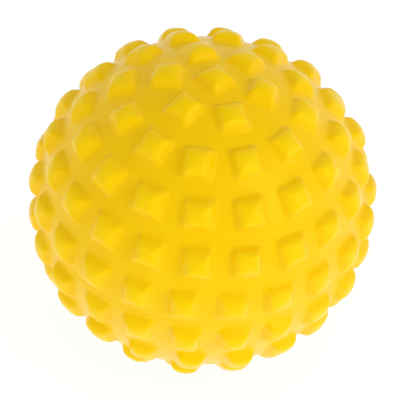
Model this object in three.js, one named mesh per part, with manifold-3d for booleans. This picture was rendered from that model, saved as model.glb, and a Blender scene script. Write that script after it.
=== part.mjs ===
// A hollow soft-rubber ball with blunt square studs, moulded as two halves and cemented at the equator.
// Millimetres, +Z up along the pole axis, origin at the centre of the ball, -Y towards the viewer.

import * as THREE from 'three';
import { mergeVertices } from 'three/addons/utils/BufferGeometryUtils.js';
import Module from 'manifold-3d';

// Ball
const BALL_DIAMETER = 100; // over two opposite stud tops
const WALL = 2.5; // shell between the studs

// Studs: blunt square blocks with drafted sides and a broken top edge
const STUD_HEIGHT = 3.0;
const STUD_FOOT = 9.2; // width where the sides meet the wall
const STUD_DRAFT = 1.3; // how far each side leans in, up to the shoulder
const EDGE_BREAK = 1.0; // how far the broken top edge leans in
const EDGE_DROP = 0.8; // height of the broken top edge

// Rings of studs from the pole to the equator, alike on both halves
const STUDS_IN_RING = [1, 6, 12, 16, 20, 22];
const RING_TURN = [45, 24.3, -4.9, -0.9, 0.8, -2]; // degrees from -Y to the first stud of each ring
const LOWER_TURN = 1.5; // degrees that the lower half is turned against the upper one

// Stepped joint at the equator
const LIP_WALL = 1.8; // inner lip of the upper half
const REBATE_WALL = 1.8; // outer lip of the lower half
const LIP_DEPTH = 3.0; // how far the upper lip reaches below the equator
const JOINT_BAND = 2.6; // height of the thicker wall beyond the joint
const JOINT_BLEND = 2.0; // height of the slope back to the plain wall
const CEMENT = 0.4; // thickness of the cement layer

// Air valve at the lower pole
const NEEDLE_DIAMETER = 2.2;
const PLUG_DIAMETER = 6.0;
const PLUG_CLEARANCE = 0.2;
const FLANGE_OVERHANG = 2.0;
const FLANGE_THICKNESS = 1.2;
const BOSS_WALL = 2.8;
const BOSS_HEIGHT = 5.0; // above the inside of the wall
const GUIDE_DIAMETER = 1.4; // blind guide for the needle in the plug
const GUIDE_DEPTH = 2.5;
const BORE_FLOOR = 2.0; // wall left under the plug, without the stud

// Facets
const SHELL_SEGMENTS = 44;
const PLUG_SEGMENTS = 24;
const INNER_STEPS = 6;
const STUD_SIDES = 4;
const CUT_OVERRUN = 1.0;

// Derived sizes
const TOP_RADIUS = BALL_DIAMETER / 2;
const BASE_RADIUS = TOP_RADIUS - STUD_HEIGHT;
const INNER_RADIUS = BASE_RADIUS - WALL;
const STUD_ROOT = WALL / 2;
const REBATE_RADIUS = BASE_RADIUS - REBATE_WALL;
const LIP_RADIUS = REBATE_RADIUS - CEMENT;
const COLLAR_RADIUS = LIP_RADIUS - LIP_WALL;
const RIM_HEIGHT = CEMENT / 2;
const RIM_RADIUS = Math.sqrt(BASE_RADIUS ** 2 - RIM_HEIGHT ** 2);
const LEDGE_DEPTH = LIP_DEPTH + CEMENT;
const JOINT_REACH = LEDGE_DEPTH + JOINT_BAND;
const BOSS_TOP = INNER_RADIUS - BOSS_HEIGHT;
const PLUG_RADIUS = PLUG_DIAMETER / 2;
const FLANGE_RADIUS = PLUG_RADIUS + FLANGE_OVERHANG;
const BORE_RADIUS = PLUG_RADIUS + PLUG_CLEARANCE;
const BOSS_RADIUS = BORE_RADIUS + BOSS_WALL;
const BORE_BOTTOM = BASE_RADIUS - BORE_FLOOR;
const BLEND_POLAR = Math.acos((JOINT_REACH + JOINT_BLEND) / INNER_RADIUS);
const RING_STEP = Math.PI / (2 * STUDS_IN_RING.length - 1);

const wasm = await Module();
wasm.setup();

const RUBBER = { color: 0xf9cb06, roughness: 0.42, metalness: 0 };
const CEMENT_LOOK = { color: 0xf4c206, roughness: 0.5, metalness: 0 };
const PLUG_LOOK = { color: 0xd8d2bc, roughness: 0.6, metalness: 0 };

// A closed geometry, reduced to merged positions without empty triangles, as a solid.
function toSolid(geometry) {
  geometry.deleteAttribute('normal');
  geometry.deleteAttribute('uv');
  const merged = mergeVertices(geometry);
  const index = merged.index.array;
  const triangles = [];
  for (let i = 0; i < index.length; i += 3) {
    const [a, b, c] = index.slice(i, i + 3);
    if (a !== b && b !== c && c !== a) {
      triangles.push(a, b, c);
    }
  }
  const vertProperties = new Float32Array(merged.attributes.position.array);
  const triVerts = new Uint32Array(triangles);
  return new wasm.Manifold(new wasm.Mesh({ numProp: 3, vertProperties, triVerts }));
}

function toGeometry(solid) {
  const mesh = solid.getMesh();
  const geometry = new THREE.BufferGeometry();
  geometry.setAttribute('position', new THREE.BufferAttribute(mesh.vertProperties, 3));
  geometry.setIndex(new THREE.BufferAttribute(mesh.triVerts, 1));
  geometry.computeVertexNormals();
  return geometry;
}

function namedMesh(name, solid, look) {
  const mesh = new THREE.Mesh(toGeometry(solid), new THREE.MeshStandardMaterial(look));
  mesh.name = name;
  return mesh;
}

// A profile of [radius, height] points turned about +Z.
function turned(profile, segments) {
  const points = profile.map(([radius, height]) => new THREE.Vector2(radius, height));
  const geometry = new THREE.LatheGeometry(points, segments);
  geometry.rotateX(Math.PI / 2);
  return toSolid(geometry);
}

// Inside of the wall, from one polar angle to another.
function innerArc(fromPolar, toPolar) {
  const points = [];
  for (let i = 0; i <= INNER_STEPS; i += 1) {
    const polar = fromPolar + ((toPolar - fromPolar) * i) / INNER_STEPS;
    points.push([INNER_RADIUS * Math.sin(polar), INNER_RADIUS * Math.cos(polar)]);
  }
  return points;
}

// Outside of the wall from the rim to the pole, with its edges in the valleys between the rings.
function outerArc() {
  const points = [[RIM_RADIUS, RIM_HEIGHT]];
  for (let ring = STUDS_IN_RING.length - 1; ring > 0; ring -= 1) {
    const polar = (ring - 1 / 2) * RING_STEP;
    points.push([BASE_RADIUS * Math.sin(polar), BASE_RADIUS * Math.cos(polar)]);
  }
  points.push([0, BASE_RADIUS]);
  return points;
}

const mirrored = (points) => points.map(([radius, height]) => [radius, -height]).reverse();

// One stud block with its axis on +Y and its foot at y = 0, turned with four sides.
function studGeometry() {
  const shoulderHeight = STUD_HEIGHT - EDGE_DROP;
  const rootSpread = (STUD_DRAFT * STUD_ROOT) / shoulderHeight;
  const halfWidths = [
    [0, -STUD_ROOT],
    [STUD_FOOT / 2 + rootSpread, -STUD_ROOT],
    [STUD_FOOT / 2 - STUD_DRAFT, shoulderHeight],
    [STUD_FOOT / 2 - STUD_DRAFT - EDGE_BREAK, STUD_HEIGHT],
    [0, STUD_HEIGHT],
  ];
  const profile = halfWidths.map(([half, height]) => new THREE.Vector2(half * Math.SQRT2, height));
  return new THREE.LatheGeometry(profile, STUD_SIDES, Math.PI / STUD_SIDES);
}

// The stud at a polar angle and at an azimuth counted from -Y towards +X.
function placedStud(polar, azimuth) {
  const east = new THREE.Vector3(Math.cos(azimuth), Math.sin(azimuth), 0);
  const out = new THREE.Vector3(
    Math.sin(polar) * Math.sin(azimuth),
    -Math.sin(polar) * Math.cos(azimuth),
    Math.cos(polar),
  );
  const along = new THREE.Vector3().crossVectors(east, out);
  const place = new THREE.Matrix4().makeBasis(east, out, along);
  place.setPosition(out.clone().multiplyScalar(BASE_RADIUS));
  return toSolid(studGeometry().applyMatrix4(place));
}

// All studs of one half, the lower half mirroring the upper one but for a small turn.
function studsOfHalf(isUpper) {
  const halfTurn = isUpper ? 0 : LOWER_TURN;
  const studs = [];
  STUDS_IN_RING.forEach((count, ring) => {
    const polar = isUpper ? ring * RING_STEP : Math.PI - ring * RING_STEP;
    const firstAzimuth = THREE.MathUtils.degToRad(RING_TURN[ring] + halfTurn);
    for (let i = 0; i < count; i += 1) {
      studs.push(placedStud(polar, firstAzimuth + (2 * Math.PI * i) / count));
    }
  });
  return studs;
}

function withStuds(wall, isUpper) {
  return studsOfHalf(isUpper).reduce((body, stud) => body.add(stud), wall);
}

function upperHalfShell() {
  const profile = [
    ...innerArc(0, BLEND_POLAR),
    [COLLAR_RADIUS, JOINT_REACH],
    [COLLAR_RADIUS, -LIP_DEPTH],
    [LIP_RADIUS, -LIP_DEPTH],
    [LIP_RADIUS, RIM_HEIGHT],
    ...outerArc(),
  ];
  return withStuds(turned(profile, SHELL_SEGMENTS), true);
}

function lowerHalfShell() {
  const bossPolar = Math.asin(BOSS_RADIUS / INNER_RADIUS);
  const profile = [
    ...mirrored(outerArc()),
    [REBATE_RADIUS, -RIM_HEIGHT],
    [REBATE_RADIUS, -LEDGE_DEPTH],
    [COLLAR_RADIUS, -LEDGE_DEPTH],
    [COLLAR_RADIUS, -JOINT_REACH],
    ...innerArc(Math.PI - BLEND_POLAR, Math.PI - bossPolar),
    [BOSS_RADIUS, -BOSS_TOP],
    [BORE_RADIUS, -BOSS_TOP],
    [BORE_RADIUS, -BORE_BOTTOM],
    [0, -BORE_BOTTOM],
  ];
  const needleLength = TOP_RADIUS - BORE_BOTTOM + 2 * CUT_OVERRUN;
  const needle = new THREE.CylinderGeometry(
    NEEDLE_DIAMETER / 2,
    NEEDLE_DIAMETER / 2,
    needleLength,
    PLUG_SEGMENTS,
  );
  needle.rotateX(Math.PI / 2);
  needle.translate(0, 0, -(TOP_RADIUS + BORE_BOTTOM) / 2);
  return withStuds(turned(profile, SHELL_SEGMENTS), false).subtract(toSolid(needle));
}

// Cement between the rims, down the step and under the lip.
function seamCement() {
  const profile = [
    [RIM_RADIUS, RIM_HEIGHT],
    [LIP_RADIUS, RIM_HEIGHT],
    [LIP_RADIUS, -LIP_DEPTH],
    [COLLAR_RADIUS, -LIP_DEPTH],
    [COLLAR_RADIUS, -LEDGE_DEPTH],
    [REBATE_RADIUS, -LEDGE_DEPTH],
    [REBATE_RADIUS, -RIM_HEIGHT],
    [RIM_RADIUS, -RIM_HEIGHT],
    [RIM_RADIUS, RIM_HEIGHT],
  ];
  return turned(profile, SHELL_SEGMENTS);
}

// Plug pushed into the boss from inside, its flange on the boss and a needle guide in its outer end.
function valvePlug() {
  const stemBottom = -(BORE_BOTTOM - PLUG_CLEARANCE);
  const profile = [
    [0, stemBottom + GUIDE_DEPTH],
    [GUIDE_DIAMETER / 2, stemBottom + GUIDE_DEPTH],
    [GUIDE_DIAMETER / 2, stemBottom],
    [PLUG_RADIUS, stemBottom],
    [PLUG_RADIUS, -BOSS_TOP],
    [FLANGE_RADIUS, -BOSS_TOP],
    [FLANGE_RADIUS, -BOSS_TOP + FLANGE_THICKNESS],
    [0, -BOSS_TOP + FLANGE_THICKNESS],
  ];
  return turned(profile, PLUG_SEGMENTS);
}

const ball = new THREE.Group();
ball.name = 'spiky_ball';
ball.add(namedMesh('upper_half_shell', upperHalfShell(), RUBBER));
ball.add(namedMesh('lower_half_shell', lowerHalfShell(), RUBBER));
ball.add(namedMesh('seam_cement', seamCement(), CEMENT_LOOK));
ball.add(namedMesh('valve_plug', valvePlug(), PLUG_LOOK));

export default ball;
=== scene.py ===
"""Studded soft-rubber ball: two moulded halves, the cement in their seam and the valve plug inside.

Metres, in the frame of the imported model: +Z is the pole axis, -Y faces the viewer and the origin is the
ball's centre.
"""

import math
import random

import bmesh
import bpy
import numpy as np
from mathutils import Matrix, Vector
from mathutils.geometry import delaunay_2d_cdt


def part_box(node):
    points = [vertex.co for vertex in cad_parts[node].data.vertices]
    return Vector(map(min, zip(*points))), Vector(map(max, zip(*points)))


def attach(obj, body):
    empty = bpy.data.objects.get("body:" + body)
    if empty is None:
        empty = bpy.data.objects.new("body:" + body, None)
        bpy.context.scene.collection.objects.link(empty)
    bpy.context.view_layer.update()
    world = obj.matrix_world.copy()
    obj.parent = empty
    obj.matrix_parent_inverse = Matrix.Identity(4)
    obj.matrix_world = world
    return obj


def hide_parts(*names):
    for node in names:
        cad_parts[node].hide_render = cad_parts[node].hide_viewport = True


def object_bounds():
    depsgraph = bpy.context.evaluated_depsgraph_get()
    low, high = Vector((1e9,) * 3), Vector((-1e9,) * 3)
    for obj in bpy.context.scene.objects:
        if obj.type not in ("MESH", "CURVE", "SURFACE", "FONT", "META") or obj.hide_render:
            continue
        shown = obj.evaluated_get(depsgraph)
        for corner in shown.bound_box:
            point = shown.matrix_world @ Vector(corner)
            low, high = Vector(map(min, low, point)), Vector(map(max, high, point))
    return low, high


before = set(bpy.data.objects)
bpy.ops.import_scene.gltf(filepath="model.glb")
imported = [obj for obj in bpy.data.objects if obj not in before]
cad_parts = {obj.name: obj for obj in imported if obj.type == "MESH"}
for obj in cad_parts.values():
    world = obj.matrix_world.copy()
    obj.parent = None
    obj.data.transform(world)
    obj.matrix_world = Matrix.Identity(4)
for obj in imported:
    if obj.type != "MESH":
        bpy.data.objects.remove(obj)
cad_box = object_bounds()

bl_info = {
    "name": "Studded ball",
    "version": (1, 0, 0),
    "blender": (4, 5, 0),
    "location": "View3D > Sidebar > Ball",
    "description": "Models a hollow soft-rubber ball with square studs, and its stage",
    "category": "Object",
}

MM = 0.001
BODY = "root"
WHITE = (1, 1, 1, 1)
# The relief sets how much shade is painted on the wall among the studs, and how much polish the studs have.
RELIEF = "relief"  # mesh attribute: 0 on the wall, 1 on top of a stud

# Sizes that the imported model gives, with depths counted down from the centre
TOP_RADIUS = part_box("upper_half_shell")[1][2]
RIM_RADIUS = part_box("seam_cement")[1][0]
RIM_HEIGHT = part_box("seam_cement")[1][2]
LIP_DEPTH = -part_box("upper_half_shell")[0][2]
LEDGE_DEPTH = -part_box("seam_cement")[0][2]
PLUG_TIP = -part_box("valve_plug")[0][2]
PLUG_TOP = -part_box("valve_plug")[1][2]
FLANGE_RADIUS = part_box("valve_plug")[1][0]
FLOOR_HEIGHT = cad_box[0][2]

# Rings of studs from the pole to the equator, alike on both halves
STUDS_IN_RING = (1, 6, 12, 16, 20, 22)
RING_TURN = (45, 24.3, -4.9, -0.9, 0.8, -2)  # degrees from -Y to the first stud of each ring
LOWER_TURN = 1.5  # degrees that the lower half is turned against the upper one
RING_STEP = math.pi / (2 * len(STUDS_IN_RING) - 1)

# Roundness of the studs, and how they wander from their true shape
CORNER_SPREAD = 0.65  # growth of a stud's plan corners for each unit of width down its sides
ROUNDEST = 0.8  # corner radius by half width, in the middle of a crown
FOOT_LOOSENESS = 0.5  # share of a stud's irregularity that its foot has
UPPER_SEED = 11  # start of the upper half's random draws
LOWER_SEED = 29  # and of the lower half's

# Mouth of the needle hole: widths go by the hole's radius, depths by the stud's height
MOUTH_CLEARING = 2  # half width of the crown that makes way for the mouth
MOUTH_RINGS = ((1.5, 0.0), (1.15, 0.03), (1.02, 0.12), (1.0, 0.3))  # radius and depth of each ring

# Fineness of the meshes
SIDE_STEPS = 7  # along a stud's side
CORNER_STEPS = 5  # round a stud's corner
CURVE_STEPS = 4  # across a fillet or a rounded edge
CROWN_STEPS = 4  # from a stud's edge to its middle
RIM_STEPS = 264  # round the equator
INNER_STEPS = 18  # from the joint to the pole, inside
PLUG_STEPS = 48  # round the valve plug
WEB_PITCH = 1.7 * MM  # between points of the wall among the studs
MERGE_REACH = 1e-6  # millimetres within which two points of the wall count as one
SHARP_ANGLE = math.radians(50)  # edges that turn more than this are shaded sharp

# Skin of the rubber: cells in a metre and detail of its three noises, then what they and the relief change
CLOUD = (38.0, 2.0)
MOTTLE = (260.0, 3.0)
PEEL = (900.0, 2.0)
CLOUD_TONE = 0.35  # share of the deep colour that clouds add or take away
MOTTLE_TONE = 0.12  # the same for the mottle
# Painted shade: the wall among the studs takes more of the deep colour than the crowns, as though shaded.
WALL_PAINTED_SHADE = 0.75  # share of the deep colour on the wall
CROWN_PAINTED_SHADE = 0.25  # and on top of a stud
MOTTLE_ROUGHNESS = 0.06  # roughness that the mottle adds or takes away
CROWN_POLISH = 0.05  # roughness that handling takes off the studs
MOTTLE_HEIGHT = 1.5  # height of the mottle by that of the orange peel
PEEL_HEIGHT = 0.05 * MM  # of the orange peel, at full strength
RUBBER_IOR = 1.4

# Stage
KEY_SPOT = (0.75, -0.47, 0.6)  # where the key light stands
FILL_SPOT = (-0.68, -0.63, 0.53)  # where the fill light stands
LAMP_SIZE = 0.6  # side of each square light
FLOOR_RADIUS = 4.0
FLOOR_STEPS = 96  # round the floor's edge
FLOOR_COLOUR = (0.94, 0.94, 0.94, 1)
FLOOR_GLOW_SHARE = 0.85  # the rest of the floor is matte and takes the ball's shadow
FLOOR_SEEN = 1.06  # strength of the floor's glow where the floor itself is seen
SENSOR_WIDTH = 36.0  # millimetres
PICTURE_WIDTH = 400  # pixels
BALL_OFFSET = (1.92, -0.3)  # pixels from the picture's centre to the ball's, to the right and up


class BallStudSizes(bpy.types.PropertyGroup):
    """Shape of the square studs."""

    height: bpy.props.FloatProperty(
        name="Height", description="From the wall to the middle of the crown",
        default=3.0 * MM, unit="LENGTH", subtype="DISTANCE")
    foot: bpy.props.FloatProperty(
        name="Foot", description="Width where the sides meet the wall",
        default=9.2 * MM, unit="LENGTH", subtype="DISTANCE")
    draft: bpy.props.FloatProperty(
        name="Draft", description="How far each side leans in up to the crown's edge",
        default=1.5 * MM, unit="LENGTH", subtype="DISTANCE")
    rise: bpy.props.FloatProperty(
        name="Crown rise", description="How far the crown swells above its edge",
        default=0.8 * MM, unit="LENGTH", subtype="DISTANCE")
    edge: bpy.props.FloatProperty(
        name="Edge round", description="Reach of the rounded edge of the crown",
        default=1.0 * MM, unit="LENGTH", subtype="DISTANCE")
    fillet: bpy.props.FloatProperty(
        name="Foot fillet", description="Reach of the fillet between a side and the wall",
        default=0.6 * MM, unit="LENGTH", subtype="DISTANCE")
    corner: bpy.props.FloatProperty(
        name="Corner round", description="Radius of the crown's corners, seen from above",
        default=0.7 * MM, unit="LENGTH", subtype="DISTANCE")
    unevenness: bpy.props.FloatProperty(
        name="Unevenness", description="How far the moulded studs wander from their true shape",
        default=0.35 * MM, unit="LENGTH", subtype="DISTANCE")


class BallShellSizes(bpy.types.PropertyGroup):
    """Wall, joint and valve of the two halves."""

    wall: bpy.props.FloatProperty(
        name="Wall", description="Thickness of the wall between the studs",
        default=2.5 * MM, unit="LENGTH", subtype="DISTANCE")
    rebate: bpy.props.FloatProperty(
        name="Rebate wall", description="Thickness of the lower half's outer lip",
        default=1.8 * MM, unit="LENGTH", subtype="DISTANCE")
    lip: bpy.props.FloatProperty(
        name="Lip wall", description="Thickness of the upper half's inner lip",
        default=1.8 * MM, unit="LENGTH", subtype="DISTANCE")
    band: bpy.props.FloatProperty(
        name="Joint band", description="Height of the thicker wall beyond the joint",
        default=2.6 * MM, unit="LENGTH", subtype="DISTANCE")
    blend: bpy.props.FloatProperty(
        name="Joint blend", description="Height of the slope back to the plain wall",
        default=2.0 * MM, unit="LENGTH", subtype="DISTANCE")
    rim_round: bpy.props.FloatProperty(
        name="Rim round", description="Rounding of the two outer rims beside the seam",
        default=0.04 * MM, unit="LENGTH", subtype="DISTANCE")
    needle: bpy.props.FloatProperty(
        name="Needle hole", description="Diameter of the hole for the inflation needle",
        default=2.2 * MM, unit="LENGTH", subtype="DISTANCE")
    bore: bpy.props.FloatProperty(
        name="Plug bore", description="Diameter of the boss's bore",
        default=6.4 * MM, unit="LENGTH", subtype="DISTANCE")
    boss: bpy.props.FloatProperty(
        name="Boss", description="Outer diameter of the boss that holds the plug",
        default=12.0 * MM, unit="LENGTH", subtype="DISTANCE")


class BallPlugSizes(bpy.types.PropertyGroup):
    """Shape of the valve plug and its room in the boss."""

    stem: bpy.props.FloatProperty(
        name="Stem", description="Diameter of the stem in the boss's bore",
        default=6.0 * MM, unit="LENGTH", subtype="DISTANCE")
    flange: bpy.props.FloatProperty(
        name="Flange", description="Thickness of the flange that sits on the boss",
        default=1.2 * MM, unit="LENGTH", subtype="DISTANCE")
    guide: bpy.props.FloatProperty(
        name="Needle guide", description="Diameter of the blind hole that leads the needle in",
        default=1.4 * MM, unit="LENGTH", subtype="DISTANCE")
    guide_depth: bpy.props.FloatProperty(
        name="Guide depth", description="From the plug's tip to the end of the guide's straight wall",
        default=2.5 * MM, unit="LENGTH", subtype="DISTANCE")
    guide_point: bpy.props.FloatProperty(
        name="Guide point", description="Height of the cone at the end of the guide",
        default=0.2 * MM, unit="LENGTH", subtype="DISTANCE")
    edge: bpy.props.FloatProperty(
        name="Edge round", description="Reach of the rounded edges of stem and flange",
        default=0.4 * MM, unit="LENGTH", subtype="DISTANCE")
    tip_gap: bpy.props.FloatProperty(
        name="Tip gap", description="Clearance between the plug's tip and the floor of the bore",
        default=0.2 * MM, unit="LENGTH", subtype="DISTANCE")


class BallFinish(bpy.types.PropertyGroup):
    """Colours of the ball's materials."""

    rubber: bpy.props.FloatVectorProperty(
        name="Rubber", description="Colour of the shell",
        size=4, subtype="COLOR", min=0, max=1, default=(0.955, 0.645, 0.001, 1))
    # Painted shade and cloudy tone: the shell mixes in most of this colour on the wall among the studs,
    # where shade falls, and least on the crowns.
    rubber_shade_and_cloud: bpy.props.FloatVectorProperty(
        name="Rubber, deep", description="Colour of the shell where it is thicker and fuller",
        size=4, subtype="COLOR", min=0, max=1, default=(0.935, 0.572, 0.001, 1))
    cement: bpy.props.FloatVectorProperty(
        name="Cement", description="Colour of the cured cement in the seam",
        size=4, subtype="COLOR", min=0, max=1, default=(0.952, 0.63, 0.001, 1))
    gloss: bpy.props.FloatVectorProperty(
        name="Gloss", description="Colour of what the yellow rubber mirrors where it is seen straight on",
        size=4, subtype="COLOR", min=0, max=1, default=(1, 0.85, 0.12, 1))
    plug: bpy.props.FloatVectorProperty(
        name="Plug", description="Colour of the valve plug",
        size=4, subtype="COLOR", min=0, max=1, default=(0.66, 0.62, 0.48, 1))


class BallStage(bpy.types.PropertyGroup):
    """Camera, light and floor."""

    elevation: bpy.props.FloatProperty(
        name="Elevation", description="Height of the camera above the equator",
        default=math.radians(45.5), subtype="ANGLE")
    roll: bpy.props.FloatProperty(
        name="Roll", description="Lean of the pole to the right in the picture",
        default=math.radians(6.46), subtype="ANGLE")
    distance: bpy.props.FloatProperty(
        name="Distance", description="From the camera to the centre of the ball",
        default=0.64, unit="LENGTH", subtype="DISTANCE")
    wall_share: bpy.props.FloatProperty(
        name="Wall radius in the picture", description="Share of the picture's width",
        default=0.4092, subtype="FACTOR")
    key_power: bpy.props.FloatProperty(
        name="Key light", description="Power of the soft light at the front right",
        default=3.6, unit="POWER")
    fill_power: bpy.props.FloatProperty(
        name="Fill light", description="Power of the weaker soft light at the front left",
        default=0.8, unit="POWER")
    sky: bpy.props.FloatProperty(
        name="Surroundings", description="Strength of the white surroundings",
        default=0.65, subtype="FACTOR")
    floor_glow: bpy.props.FloatProperty(
        name="Floor glow", description="Strength of the light that the white floor sends up",
        default=1.36, subtype="FACTOR")


class Skin:
    """Vertices, faces and relief of one mesh, collected ring by ring."""

    def __init__(self):
        self.points = []
        self.relief = []
        self.faces = []

    def add(self, points, relief=0.0):
        """Adds points and returns their numbers."""
        start = len(self.points)
        self.points.extend(tuple(p) for p in points)
        self.relief.extend([relief] * (len(self.points) - start))
        return list(range(start, len(self.points)))

    def bridge(self, first, second):
        """Joins two rings of as many points, one to one."""
        count = len(first)
        for i in range(count):
            after = (i + 1) % count
            self.faces.append((first[i], first[after], second[after], second[i]))

    def by_angle(self, ring):
        """A level ring's points anticlockwise, from the one at the least angle."""
        angles = [math.atan2(self.points[i][1], self.points[i][0]) % (2 * math.pi) for i in ring]
        start = angles.index(min(angles))
        order = ring[start:] + ring[:start]
        step = angles[(start + 1) % len(ring)] - angles[start]
        return order if step > 0 else [order[0]] + order[:0:-1]

    def bridge_by_angle(self, first, second):
        """Joins two level rings of any number of points, by how far round each point lies."""
        a = self.by_angle(first)
        b = self.by_angle(second)
        i = j = 0
        while i < len(a) or j < len(b):
            if j >= len(b) or (i < len(a) and (i + 1) / len(a) <= (j + 1) / len(b)):
                self.faces.append((a[i % len(a)], a[(i + 1) % len(a)], b[j % len(b)]))
                i += 1
            else:
                self.faces.append((a[i % len(a)], b[(j + 1) % len(b)], b[j % len(b)]))
                j += 1

    def cap(self, ring, tip):
        """Closes a ring with a fan about one point."""
        for i, point in enumerate(ring):
            self.faces.append((point, ring[(i + 1) % len(ring)], tip))

    def make(self, name, flipped=False):
        """A smooth-shaded object of the collected skin, mirrored below the equator if asked."""
        turn = np.array([1, 1, -1 if flipped else 1])
        mesh = bpy.data.meshes.new(name)
        mesh.from_pydata((np.array(self.points) * turn).tolist(), [], self.faces)
        attribute = mesh.attributes.new(RELIEF, "FLOAT", "POINT")
        attribute.data.foreach_set("value", np.array(self.relief, dtype=np.float32))
        work = bmesh.new()
        work.from_mesh(mesh)
        bmesh.ops.recalc_face_normals(work, faces=work.faces)
        work.to_mesh(mesh)
        work.free()
        mesh.shade_smooth()
        mesh.set_sharp_from_angle(angle=SHARP_ANGLE)
        item = bpy.data.objects.new(name, mesh)
        bpy.context.scene.collection.objects.link(item)
        return item


def curve_between(start, control, end, steps):
    """Points of a quadratic curve, with both ends."""
    points = []
    for i in range(steps + 1):
        t = i / steps
        points.append(tuple(
            (1 - t) ** 2 * a + 2 * t * (1 - t) * b + t * t * c
            for a, b, c in zip(start, control, end)))
    return points


def stepped(start, end, share):
    """The point at a share of the way from one point to another."""
    return tuple(a + (b - a) * share for a, b in zip(start, end))


def stud_section(size):
    """Half width and height of a stud's rings, from its border on the wall to the smallest on its crown."""
    foot = (size.foot / 2, 0.0)
    shoulder = (size.foot / 2 - size.draft, size.height - size.rise)
    border = (foot[0] + size.fillet, 0.0)
    side = math.dist(foot, shoulder)
    lower = stepped(foot, shoulder, size.fillet / side)
    upper = stepped(shoulder, foot, size.edge / side)
    crown_half = shoulder[0] - size.edge

    def crown(half):
        return half, size.height - size.rise * (half / shoulder[0]) ** 2

    section = curve_between(border, foot, lower, CURVE_STEPS)
    section.append(stepped(lower, upper, 1 / 2))
    section += curve_between(upper, shoulder, crown(crown_half), CURVE_STEPS)
    section += [crown(crown_half * (1 - i / CROWN_STEPS)) for i in range(1, CROWN_STEPS)]
    return section


def square_loop(half, corner):
    """A square with rounded corners, anticlockwise from its lower right corner."""
    flat = half - corner
    quarter = [(half, flat * (2 * i / SIDE_STEPS - 1)) for i in range(SIDE_STEPS)]
    for i in range(CORNER_STEPS):
        angle = math.pi / 2 * i / CORNER_STEPS
        quarter.append((flat + corner * math.cos(angle), flat + corner * math.sin(angle)))
    loop = []
    for turn in range(4):
        cosine, sine = round(math.cos(turn * math.pi / 2)), round(math.sin(turn * math.pi / 2))
        loop += [(cosine * u - sine * v, sine * u + cosine * v) for u, v in quarter]
    return loop


def stud_axes(ring, place, half_turn):
    """Outward, east and north directions of one stud, above the equator."""
    polar = ring * RING_STEP
    azimuth = math.radians(RING_TURN[ring] + half_turn) + 2 * math.pi * place / STUDS_IN_RING[ring]
    east = Vector((math.cos(azimuth), math.sin(azimuth), 0))
    out = Vector((
        math.sin(polar) * math.sin(azimuth),
        -math.sin(polar) * math.cos(azimuth),
        math.cos(polar)))
    return out, east, out.cross(east)


class StudPlace:
    """One stud's place on the wall, with the small irregularity that moulding gives it."""

    def __init__(self, axes, radius, size, draw, unevenness):
        self.out, self.east, self.north = axes
        self.radius = radius
        self.height = size.height
        self.shift = [draw.uniform(-1, 1) * unevenness for _ in range(2)]
        self.lift = draw.uniform(-1, 1) * unevenness
        slack = unevenness / (size.foot / 2)
        self.tilt = [draw.uniform(-1, 1) * slack for _ in range(2)]
        self.stretch = [draw.uniform(-1, 1) * slack for _ in range(2)]
        self.twist = draw.uniform(-1, 1) * slack

    def point(self, u, v, height):
        """The point at an offset east and north of the stud's axis, and at a height over the wall."""
        share = height / self.height
        looseness = FOOT_LOOSENESS + (1 - FOOT_LOOSENESS) * share
        u, v = u * (1 + self.stretch[0] * looseness), v * (1 + self.stretch[1] * looseness)
        u, v = u - v * self.twist * looseness, v + u * self.twist * looseness
        u, v = u + self.shift[0] * share, v + self.shift[1] * share
        sag = math.sqrt(self.radius ** 2 - u * u - v * v) - self.radius
        lift = share * (self.lift + self.tilt[0] * u + self.tilt[1] * v)
        level = self.radius + height + sag * (1 - share) + lift
        return self.out * level + self.east * u + self.north * v


def plan_corner(size, half):
    """Corner radius of a stud's plan at a half width, growing down the sides and rounding off the crown."""
    shoulder = size.foot / 2 - size.draft
    if half > shoulder:
        return size.corner + (half - shoulder) * CORNER_SPREAD
    share = half / shoulder
    ratio = ROUNDEST + (size.corner / shoulder - ROUNDEST) * share ** 2
    return half * ratio


def add_stud(skin, place, size, hole=None):
    """Lofts one stud and returns its border ring, and the ring of the hole if it has one."""
    rings = []
    for half, height in stud_section(size):
        if hole and half < hole * MOUTH_CLEARING:
            break
        loop = square_loop(half, plan_corner(size, half))
        points = [place.point(u, v, height) for u, v in loop]
        rings.append(skin.add(points, height / size.height))
    for outer, inner in zip(rings, rings[1:]):
        skin.bridge(outer, inner)
    if hole is None:
        tip = skin.add([place.point(0, 0, size.height)], 1.0)[0]
        skin.cap(rings[-1], tip)
        return rings[0], None
    return rings[0], add_needle_mouth(skin, place, size, rings[-1], hole)


def add_needle_mouth(skin, place, size, crown_ring, hole):
    """Turns the crown's last ring into the rounded mouth of the needle hole."""
    angles = [math.atan2(v, u) for u, v in square_loop(size.foot / 2, size.corner)]
    ring = crown_ring
    for radius, depth in MOUTH_RINGS:
        points = [
            place.point(hole * radius * math.cos(a), hole * radius * math.sin(a), size.height * (1 - depth))
            for a in angles]
        inner = skin.add(points, 1.0 - depth)
        skin.bridge(ring, inner)
        ring = inner
    return ring


def flat_map(point):
    """A point of the upper half on a flat map about the pole, true to scale along the meridians."""
    radius = math.sqrt(point[0] ** 2 + point[1] ** 2 + point[2] ** 2)
    across = math.hypot(point[0], point[1])
    polar = math.atan2(across, point[2])
    scale = radius * polar / across if across > 0 else 0.0
    return Vector((point[0] * scale, point[1] * scale))


def from_flat_map(x, y, radius):
    """The point of the wall at a place on the flat map."""
    across = math.hypot(x, y)
    polar = across / radius
    scale = radius * math.sin(polar) / across if across > 0 else 0.0
    return x * scale, y * scale, radius * math.cos(polar)


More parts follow.
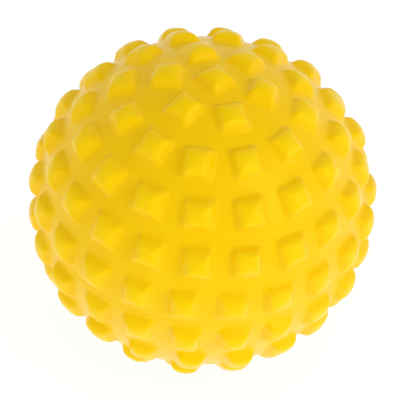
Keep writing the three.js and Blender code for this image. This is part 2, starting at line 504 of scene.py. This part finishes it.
def web_points(places, size, radius, reach):
    """Places on the flat map for the wall among the studs, on a lattice that keeps off them."""
    rows = int(reach / (WEB_PITCH * math.sqrt(3) / 2)) + 1
    columns = int(reach / WEB_PITCH) + 1
    clear = size.foot / 2 + size.fillet + WEB_PITCH / 3
    kept = []
    out = np.array([p.out for p in places])
    east = np.array([p.east for p in places])
    north = np.array([p.north for p in places])
    for row in range(-rows, rows + 1):
        for column in range(-columns, columns + 1):
            x = (column + (row % 2) / 2) * WEB_PITCH
            y = row * WEB_PITCH * math.sqrt(3) / 2
            if math.hypot(x, y) > reach - WEB_PITCH / 2:
                continue
            point = np.array(from_flat_map(x, y, radius))
            near = np.maximum(np.abs(east @ point), np.abs(north @ point)) < clear
            if not np.any(near & (out @ point > 0)):
                kept.append((x, y))
    return kept


def add_web(skin, borders, rim, fill):
    """Triangulates the wall between the studs' borders and the rim."""
    numbers, owners, flat, edges = [], [], [], []
    for owner, ring in enumerate([*borders, rim]):
        start = len(flat)
        numbers += ring
        owners += [owner] * len(ring)
        flat += [flat_map(skin.points[i]) for i in ring]
        edges += [(start + i, start + (i + 1) % len(ring)) for i in range(len(ring))]
    radius = math.dist(skin.points[rim[0]], (0, 0, 0))
    for x, y in fill:
        numbers += skin.add([from_flat_map(x, y, radius)])
        owners.append(None)
        flat.append(Vector((x, y)))
    scaled = [p / MM for p in flat]
    _, _, triangles, origins, _, _ = delaunay_2d_cdt(scaled, edges, [], 0, MERGE_REACH)
    if any(len(o) != 1 for o in origins):
        raise RuntimeError("two points of the wall fall together")
    for triangle in triangles:
        corners = [origins[i][0] for i in triangle]
        held_by = {owners[i] for i in corners}
        inside_stud = len(held_by) == 1 and None not in held_by and held_by != {len(borders)}
        if not inside_stud:
            skin.faces.append(tuple(numbers[i] for i in corners))


def add_outside(skin, size, radius, rim_level, seed, half_turn=0, hole=None):
    """The studded outside of one half, and the rings that its inside is joined to.

    The stud at the pole keeps its true shape, since the ball stands on it.
    """
    draw = random.Random(seed)
    places, borders, mouth = [], [], None
    for ring, count in enumerate(STUDS_IN_RING):
        unevenness = size.unevenness if ring > 0 else 0.0
        for number in range(count):
            place = StudPlace(stud_axes(ring, number, half_turn), radius, size, draw, unevenness)
            border, opened = add_stud(skin, place, size, hole if ring == 0 else None)
            places.append(place)
            borders.append(border)
            mouth = mouth or opened
    across = math.sqrt(radius ** 2 - rim_level ** 2)
    rim = skin.add(circle(across, rim_level, RIM_STEPS))
    reach = radius * math.acos(rim_level / radius)
    add_web(skin, borders, rim, web_points(places, size, radius, reach))
    return rim, mouth


def circle(radius, height, steps):
    """Points of a level circle about the pole axis."""
    return [
        (radius * math.cos(2 * math.pi * i / steps), radius * math.sin(2 * math.pi * i / steps), height)
        for i in range(steps)]


def add_turned(skin, ring, profile):
    """Carries a ring on through a profile of radius and height, and returns the last ring."""
    for radius, height in profile:
        inner = skin.add(circle(radius, height, len(ring)))
        skin.bridge(ring, inner)
        ring = inner
    return ring


def rim_profile(shell, radius, lip_radius):
    """The rounded outer rim, from the wall's edge to the step of the joint."""
    corner = (radius, RIM_HEIGHT)
    start = (radius, RIM_HEIGHT + shell.rim_round)
    end = (radius - shell.rim_round, RIM_HEIGHT)
    return curve_between(start, corner, end, CURVE_STEPS)[1:] + [(lip_radius, RIM_HEIGHT)]


def inner_arc(radius, start_height, end_polar):
    """The inside of the wall, from a height near the joint up to a polar angle."""
    start_polar = math.acos(start_height / radius)
    points = []
    for i in range(INNER_STEPS + 1):
        polar = start_polar + (end_polar - start_polar) * i / INNER_STEPS
        points.append((radius * math.sin(polar), radius * math.cos(polar)))
    return points


def joint_radii(shell, radius):
    """Radii of the rebate's wall, the lip's wall and the inside of the joint."""
    rebate = radius - shell.rebate
    lip = rebate - (LEDGE_DEPTH - LIP_DEPTH)
    return rebate, lip, lip - shell.lip


def wall_radius(size):
    """Radius of the wall between the studs."""
    return TOP_RADIUS - size.height


def node_group(name, inputs, outputs):
    """An empty shader group with named sockets, and its two end nodes."""
    group = bpy.data.node_groups.new(name, "ShaderNodeTree")
    for label, kind, default in inputs:
        socket = group.interface.new_socket(label, in_out="INPUT", socket_type=kind)
        socket.default_value = default
    for label, kind in outputs:
        group.interface.new_socket(label, in_out="OUTPUT", socket_type=kind)
    return group, group.nodes.new("NodeGroupInput"), group.nodes.new("NodeGroupOutput")


def noise(tree, vector, scale, detail):
    """The factor of a noise texture on a given coordinate."""
    node = tree.nodes.new("ShaderNodeTexNoise")
    node.inputs["Scale"].default_value = scale
    node.inputs["Detail"].default_value = detail
    tree.links.new(vector, node.inputs["Vector"])
    return node.outputs["Fac"]


def maths(tree, operation, first, second):
    """A maths node whose inputs are sockets or plain numbers."""
    node = tree.nodes.new("ShaderNodeMath")
    node.operation = operation
    for socket, value in zip(node.inputs, (first, second)):
        if isinstance(value, (int, float)):
            socket.default_value = value
        else:
            tree.links.new(value, socket)
    return node.outputs[0]


def remap(tree, value, low, high):
    """A share from 0 to 1 mapped between two numbers."""
    return maths(tree, "ADD", maths(tree, "MULTIPLY", value, high - low), low)


def mix_colours(tree, share, first, second):
    """A mix of two colours, each a socket."""
    node = tree.nodes.new("ShaderNodeMix")
    node.data_type = "RGBA"
    tree.links.new(share, node.inputs["Factor"])
    tree.links.new(first, node.inputs["A"])
    tree.links.new(second, node.inputs["B"])
    return node.outputs["Result"]


def moulded_skin_group():
    """Skin of moulded rubber: cloudy tone, painted shade on the wall among the studs, polish that varies
    with handling, and a fine orange peel.
    """
    name = "moulded_skin_and_shade"
    if name in bpy.data.node_groups:
        return bpy.data.node_groups[name]
    group, given, result = node_group(
        name,
        (("Color", "NodeSocketColor", WHITE),
         ("Deep Color", "NodeSocketColor", WHITE),
         ("Relief", "NodeSocketFloat", 0.0),
         ("Roughness", "NodeSocketFloat", 0.45)),
        (("Color", "NodeSocketColor"), ("Roughness", "NodeSocketFloat"), ("Height", "NodeSocketFloat")))
    place = group.nodes.new("ShaderNodeTexCoord").outputs["Object"]
    relief = given.outputs["Relief"]
    cloud = noise(group, place, *CLOUD)
    mottle = noise(group, place, *MOTTLE)
    peel = noise(group, place, *PEEL)
    cloud_tone = remap(group, cloud, -CLOUD_TONE, CLOUD_TONE)
    mottle_tone = remap(group, mottle, -MOTTLE_TONE, MOTTLE_TONE)
    tone = maths(group, "ADD", cloud_tone, mottle_tone)
    # Painted shade: more of the deep colour on the wall among the studs, less on the crowns.
    depth = maths(group, "ADD", tone, remap(group, relief, WALL_PAINTED_SHADE, CROWN_PAINTED_SHADE))
    clamped = group.nodes.new("ShaderNodeClamp")
    group.links.new(depth, clamped.inputs["Value"])
    colour = mix_colours(
        group, clamped.outputs["Result"], given.outputs["Color"], given.outputs["Deep Color"])
    polish = maths(group, "MULTIPLY", relief, -CROWN_POLISH)
    patches = remap(group, mottle, -MOTTLE_ROUGHNESS, MOTTLE_ROUGHNESS)
    rough = maths(group, "ADD", given.outputs["Roughness"], patches)
    height = maths(group, "ADD", peel, remap(group, mottle, 0.0, MOTTLE_HEIGHT))
    group.links.new(colour, result.inputs["Color"])
    group.links.new(maths(group, "ADD", rough, polish), result.inputs["Roughness"])
    group.links.new(height, result.inputs["Height"])
    return group


def rubber_material(name, colour, gloss, roughness, bump, deep=None, studded=False):
    """A moulded rubber finish on the shared skin, even in colour unless a deeper colour clouds it and
    paints shade on the wall among the studs; a piece without studs takes the wall's share of that shade all
    over.
    """
    material = bpy.data.materials.new(name)
    material.use_nodes = True
    tree = material.node_tree
    surface = tree.nodes["Principled BSDF"]
    surface.inputs["Base Color"].default_value = colour
    surface.inputs["IOR"].default_value = RUBBER_IOR
    surface.inputs["Specular Tint"].default_value = gloss
    skin = tree.nodes.new("ShaderNodeGroup")
    skin.node_tree = moulded_skin_group()
    skin.inputs["Roughness"].default_value = roughness
    if deep is not None:
        skin.inputs["Color"].default_value = colour
        skin.inputs["Deep Color"].default_value = deep
        tree.links.new(skin.outputs["Color"], surface.inputs["Base Color"])
    if studded:
        relief = tree.nodes.new("ShaderNodeAttribute")
        relief.attribute_name = RELIEF
        tree.links.new(relief.outputs["Fac"], skin.inputs["Relief"])
    raised = tree.nodes.new("ShaderNodeBump")
    raised.inputs["Strength"].default_value = bump
    raised.inputs["Distance"].default_value = PEEL_HEIGHT
    tree.links.new(skin.outputs["Height"], raised.inputs["Height"])
    tree.links.new(skin.outputs["Roughness"], surface.inputs["Roughness"])
    tree.links.new(raised.outputs["Normal"], surface.inputs["Normal"])
    return material


def shell_material(finish):
    """The yellow rubber that both halves share."""
    name = "satin_yellow_rubber"
    if name in bpy.data.materials:
        return bpy.data.materials[name]
    return rubber_material(
        name, finish.rubber, finish.gloss, roughness=0.34, bump=0.25, deep=finish.rubber_shade_and_cloud, studded=True)


def dress(piece, node, material):
    """Gives a piece its finish and ties it to the node that it stands for."""
    piece.data.materials.append(material)
    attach(piece, BODY)
    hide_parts(node)


class BALL_OT_upper_half(bpy.types.Operator):
    """Model the upper half shell with its studs and lip"""

    bl_idname = "ball.upper_half"
    bl_label = "Upper half shell"

    def execute(self, context):
        size, shell = context.scene.ball_studs, context.scene.ball_shell
        radius = wall_radius(size)
        _, lip, inside = joint_radii(shell, RIM_RADIUS)
        skin = Skin()
        rim, _ = add_outside(skin, size, radius, RIM_HEIGHT + shell.rim_round, UPPER_SEED)
        reach = LEDGE_DEPTH + shell.band
        profile = rim_profile(shell, radius, lip)
        profile += [(lip, -LIP_DEPTH), (inside, -LIP_DEPTH), (inside, reach)]
        arc = inner_arc(radius - shell.wall, reach + shell.blend, 0.0)
        last = add_turned(skin, rim, profile + arc[:-1])
        skin.cap(last, skin.add([(0, 0, arc[-1][1])])[0])
        piece = skin.make("upper_half")
        dress(piece, "upper_half_shell", shell_material(context.scene.ball_finish))
        return {"FINISHED"}


class BALL_OT_lower_half(bpy.types.Operator):
    """Model the lower half shell with its studs, rebate and valve boss"""

    bl_idname = "ball.lower_half"
    bl_label = "Lower half shell"

    def execute(self, context):
        size, shell = context.scene.ball_studs, context.scene.ball_shell
        plug = context.scene.ball_plug
        radius = wall_radius(size)
        rebate, _, inside = joint_radii(shell, RIM_RADIUS)
        skin = Skin()
        rim, mouth = add_outside(
            skin, size, radius, RIM_HEIGHT + shell.rim_round, LOWER_SEED,
            half_turn=LOWER_TURN, hole=shell.needle / 2)
        reach = LEDGE_DEPTH + shell.band
        boss_polar = math.asin(shell.boss / 2 / (radius - shell.wall))
        profile = rim_profile(shell, radius, rebate)
        profile += [(rebate, LEDGE_DEPTH), (inside, LEDGE_DEPTH), (inside, reach)]
        profile += inner_arc(radius - shell.wall, reach + shell.blend, boss_polar)
        last = add_turned(skin, rim, profile)
        boss_top = PLUG_TOP + plug.flange
        floor = PLUG_TIP + plug.tip_gap
        boss = skin.add(circle(shell.boss / 2, boss_top, len(mouth)))
        skin.bridge_by_angle(last, boss)
        hole = add_turned(
            skin, boss, [(shell.bore / 2, boss_top), (shell.bore / 2, floor), (shell.needle / 2, floor)])
        skin.bridge_by_angle(hole, mouth)
        piece = skin.make("lower_half", flipped=True)
        dress(piece, "lower_half_shell", shell_material(context.scene.ball_finish))
        return {"FINISHED"}


class BALL_OT_seam_cement(bpy.types.Operator):
    """Model the ring of cured cement in the stepped joint"""

    bl_idname = "ball.seam_cement"
    bl_label = "Seam cement"

    def execute(self, context):
        shell = context.scene.ball_shell
        finish = context.scene.ball_finish
        radius = wall_radius(context.scene.ball_studs)
        rebate, lip, inside = joint_radii(shell, RIM_RADIUS)
        skirt = radius - shell.rim_round
        bead = curve_between((skirt, -RIM_HEIGHT), (radius, 0), (skirt, RIM_HEIGHT), 2 * CURVE_STEPS)
        skin = Skin()
        first = skin.add(circle(*bead[0], RIM_STEPS))
        profile = bead[1:] + [
            (lip, RIM_HEIGHT), (lip, -LIP_DEPTH), (inside, -LIP_DEPTH), (inside, -LEDGE_DEPTH),
            (rebate, -LEDGE_DEPTH), (rebate, -RIM_HEIGHT)]
        last = add_turned(skin, first, profile)
        skin.bridge(last, first)
        piece = skin.make("seam_ring")
        # The cement has no relief, so it takes the wall's share of the deep colour, painted shade included,
        # all round.
        look = rubber_material(
            "cement_bead", finish.cement, finish.gloss, roughness=0.5, bump=0.4, deep=finish.rubber_shade_and_cloud)
        dress(piece, "seam_cement", look)
        return {"FINISHED"}


class BALL_OT_valve_plug(bpy.types.Operator):
    """Model the soft plug that seals the needle hole from inside"""

    bl_idname = "ball.valve_plug"
    bl_label = "Valve plug"

    def execute(self, context):
        plug = context.scene.ball_plug
        finish = context.scene.ball_finish
        stem = plug.stem / 2
        guide = plug.guide / 2
        guide_end = -PLUG_TIP + plug.guide_depth
        flange_foot = -PLUG_TOP - plug.flange
        chamfer = plug.edge / 2
        skin = Skin()
        first = skin.add(circle(guide, guide_end, PLUG_STEPS))
        profile = [(guide, -PLUG_TIP + chamfer), (guide + chamfer, -PLUG_TIP)]
        profile += curve_between(
            (stem - plug.edge, -PLUG_TIP), (stem, -PLUG_TIP), (stem, -PLUG_TIP + plug.edge), CURVE_STEPS)
        profile += [(stem, flange_foot), (FLANGE_RADIUS, flange_foot)]
        profile += curve_between(
            (FLANGE_RADIUS, -PLUG_TOP - plug.edge), (FLANGE_RADIUS, -PLUG_TOP),
            (FLANGE_RADIUS - plug.edge, -PLUG_TOP), CURVE_STEPS)
        last = add_turned(skin, first, profile)
        skin.cap(last, skin.add([(0, 0, -PLUG_TOP)])[0])
        skin.cap(first, skin.add([(0, 0, guide_end + plug.guide_point)])[0])
        piece = skin.make("air_plug")
        look = rubber_material("pale_plug_rubber", finish.plug, WHITE, roughness=0.6, bump=0.4)
        dress(piece, "valve_plug", look)
        return {"FINISHED"}


def camera_axes(stage):
    """Right, up and back directions of the camera."""
    back = Vector((0, -math.cos(stage.elevation), math.sin(stage.elevation)))
    level_right = Vector((1, 0, 0))
    level_up = back.cross(level_right)
    right = level_right * math.cos(stage.roll) + level_up * math.sin(stage.roll)
    return right, back.cross(right), back


def place_camera(stage, radius):
    """Sets a long lens at the viewing angle, so that the wall takes its share of the picture."""
    right, up, back = camera_axes(stage)
    data = bpy.data.cameras.new("view")
    data.sensor_width = SENSOR_WIDTH
    data.lens = SENSOR_WIDTH * stage.wall_share * stage.distance / radius
    offset = Vector(BALL_OFFSET) / PICTURE_WIDTH * radius / stage.wall_share
    item = bpy.data.objects.new("view", data)
    spot = back * stage.distance - right * offset.x - up * offset.y
    axes = Matrix((right, up, back)).transposed().to_4x4()
    item.matrix_world = Matrix.Translation(spot) @ axes
    bpy.context.scene.collection.objects.link(item)
    bpy.context.scene.camera = item


def seen_directly(tree):
    """1 for rays from the camera or off a glossy or clear surface, otherwise 0."""
    path = tree.nodes.new("ShaderNodeLightPath")
    glossy = maths(tree, "MAXIMUM", path.outputs["Is Glossy Ray"], path.outputs["Is Transmission Ray"])
    return maths(tree, "MAXIMUM", path.outputs["Is Camera Ray"], glossy)


def light_surroundings(stage):
    """White surroundings that light the ball at a plain level and look white themselves."""
    world = bpy.data.worlds.new("surroundings")
    world.use_nodes = True
    tree = world.node_tree
    sky = tree.nodes["Background"]
    sky.inputs["Color"].default_value = WHITE
    strength = remap(tree, seen_directly(tree), stage.sky, 1.0)
    tree.links.new(strength, sky.inputs["Strength"])
    bpy.context.scene.world = world


def add_soft_light(name, spot, power):
    """A square soft light that faces the ball."""
    data = bpy.data.lights.new(name, "AREA")
    data.shape = "SQUARE"
    data.size = LAMP_SIZE
    data.energy = power
    item = bpy.data.objects.new(name, data)
    item.location = spot
    item.rotation_euler = (-Vector(spot)).to_track_quat("-Z", "Y").to_euler()
    bpy.context.scene.collection.objects.link(item)


def floor_material(glow_strength):
    """A white floor that keeps the ball's shadow."""
    material = bpy.data.materials.new("white_floor")
    material.use_nodes = True
    tree = material.node_tree
    tree.nodes.remove(tree.nodes["Principled BSDF"])
    matte = tree.nodes.new("ShaderNodeBsdfDiffuse")
    matte.inputs["Color"].default_value = FLOOR_COLOUR
    glow = tree.nodes.new("ShaderNodeEmission")
    mixed = tree.nodes.new("ShaderNodeMixShader")
    mixed.inputs["Fac"].default_value = FLOOR_GLOW_SHARE
    strength = remap(tree, seen_directly(tree), glow_strength, FLOOR_SEEN)
    tree.links.new(strength, glow.inputs["Strength"])
    tree.links.new(matte.outputs["BSDF"], mixed.inputs[1])
    tree.links.new(glow.outputs["Emission"], mixed.inputs[2])
    tree.links.new(mixed.outputs["Shader"], tree.nodes["Material Output"].inputs["Surface"])
    return material


def add_floor(stage):
    """A wide round floor under the ball."""
    mesh = bpy.data.meshes.new("floor")
    work = bmesh.new()
    bmesh.ops.create_circle(work, cap_ends=True, segments=FLOOR_STEPS, radius=FLOOR_RADIUS)
    work.to_mesh(mesh)
    work.free()
    item = bpy.data.objects.new("floor", mesh)
    item.location.z = FLOOR_HEIGHT
    mesh.materials.append(floor_material(stage.floor_glow))
    bpy.context.scene.collection.objects.link(item)


class BALL_OT_stage(bpy.types.Operator):
    """Set up the floor, the soft lights and the camera"""

    bl_idname = "ball.stage"
    bl_label = "Stage"

    def execute(self, context):
        stage = context.scene.ball_stage
        context.scene.view_settings.view_transform = "Standard"
        place_camera(stage, wall_radius(context.scene.ball_studs))
        light_surroundings(stage)
        add_soft_light("key", KEY_SPOT, stage.key_power)
        add_soft_light("fill", FILL_SPOT, stage.fill_power)
        add_floor(stage)
        return {"FINISHED"}


OPERATORS = (
    BALL_OT_stage,
    BALL_OT_upper_half,
    BALL_OT_lower_half,
    BALL_OT_seam_cement,
    BALL_OT_valve_plug,
)
SETTINGS = {
    "ball_studs": BallStudSizes,
    "ball_shell": BallShellSizes,
    "ball_plug": BallPlugSizes,
    "ball_finish": BallFinish,
    "ball_stage": BallStage,
}


class BALL_PT_panel(bpy.types.Panel):
    """The ball's pieces and sizes"""

    bl_label = "Studded ball"
    bl_idname = "BALL_PT_panel"
    bl_space_type = "VIEW_3D"
    bl_region_type = "UI"
    bl_category = "Ball"

    def draw(self, context):
        for operator in OPERATORS:
            self.layout.operator(operator.bl_idname)
        for name, settings in SETTINGS.items():
            column = self.layout.column()
            for field in settings.__annotations__:
                column.prop(getattr(context.scene, name), field)


def register():
    for settings in SETTINGS.values():
        bpy.utils.register_class(settings)
    for name, settings in SETTINGS.items():
        setattr(bpy.types.Scene, name, bpy.props.PointerProperty(type=settings))
    for operator in OPERATORS:
        bpy.utils.register_class(operator)
    bpy.utils.register_class(BALL_PT_panel)


def unregister():
    bpy.utils.unregister_class(BALL_PT_panel)
    for operator in reversed(OPERATORS):
        bpy.utils.unregister_class(operator)
    for name, settings in SETTINGS.items():
        delattr(bpy.types.Scene, name)
        bpy.utils.unregister_class(settings)


def main():
    register()
    bpy.ops.ball.stage()
    bpy.ops.ball.upper_half()
    bpy.ops.ball.lower_half()
    bpy.ops.ball.seam_cement()
    bpy.ops.ball.valve_plug()


if __name__ == "__main__":
    main()
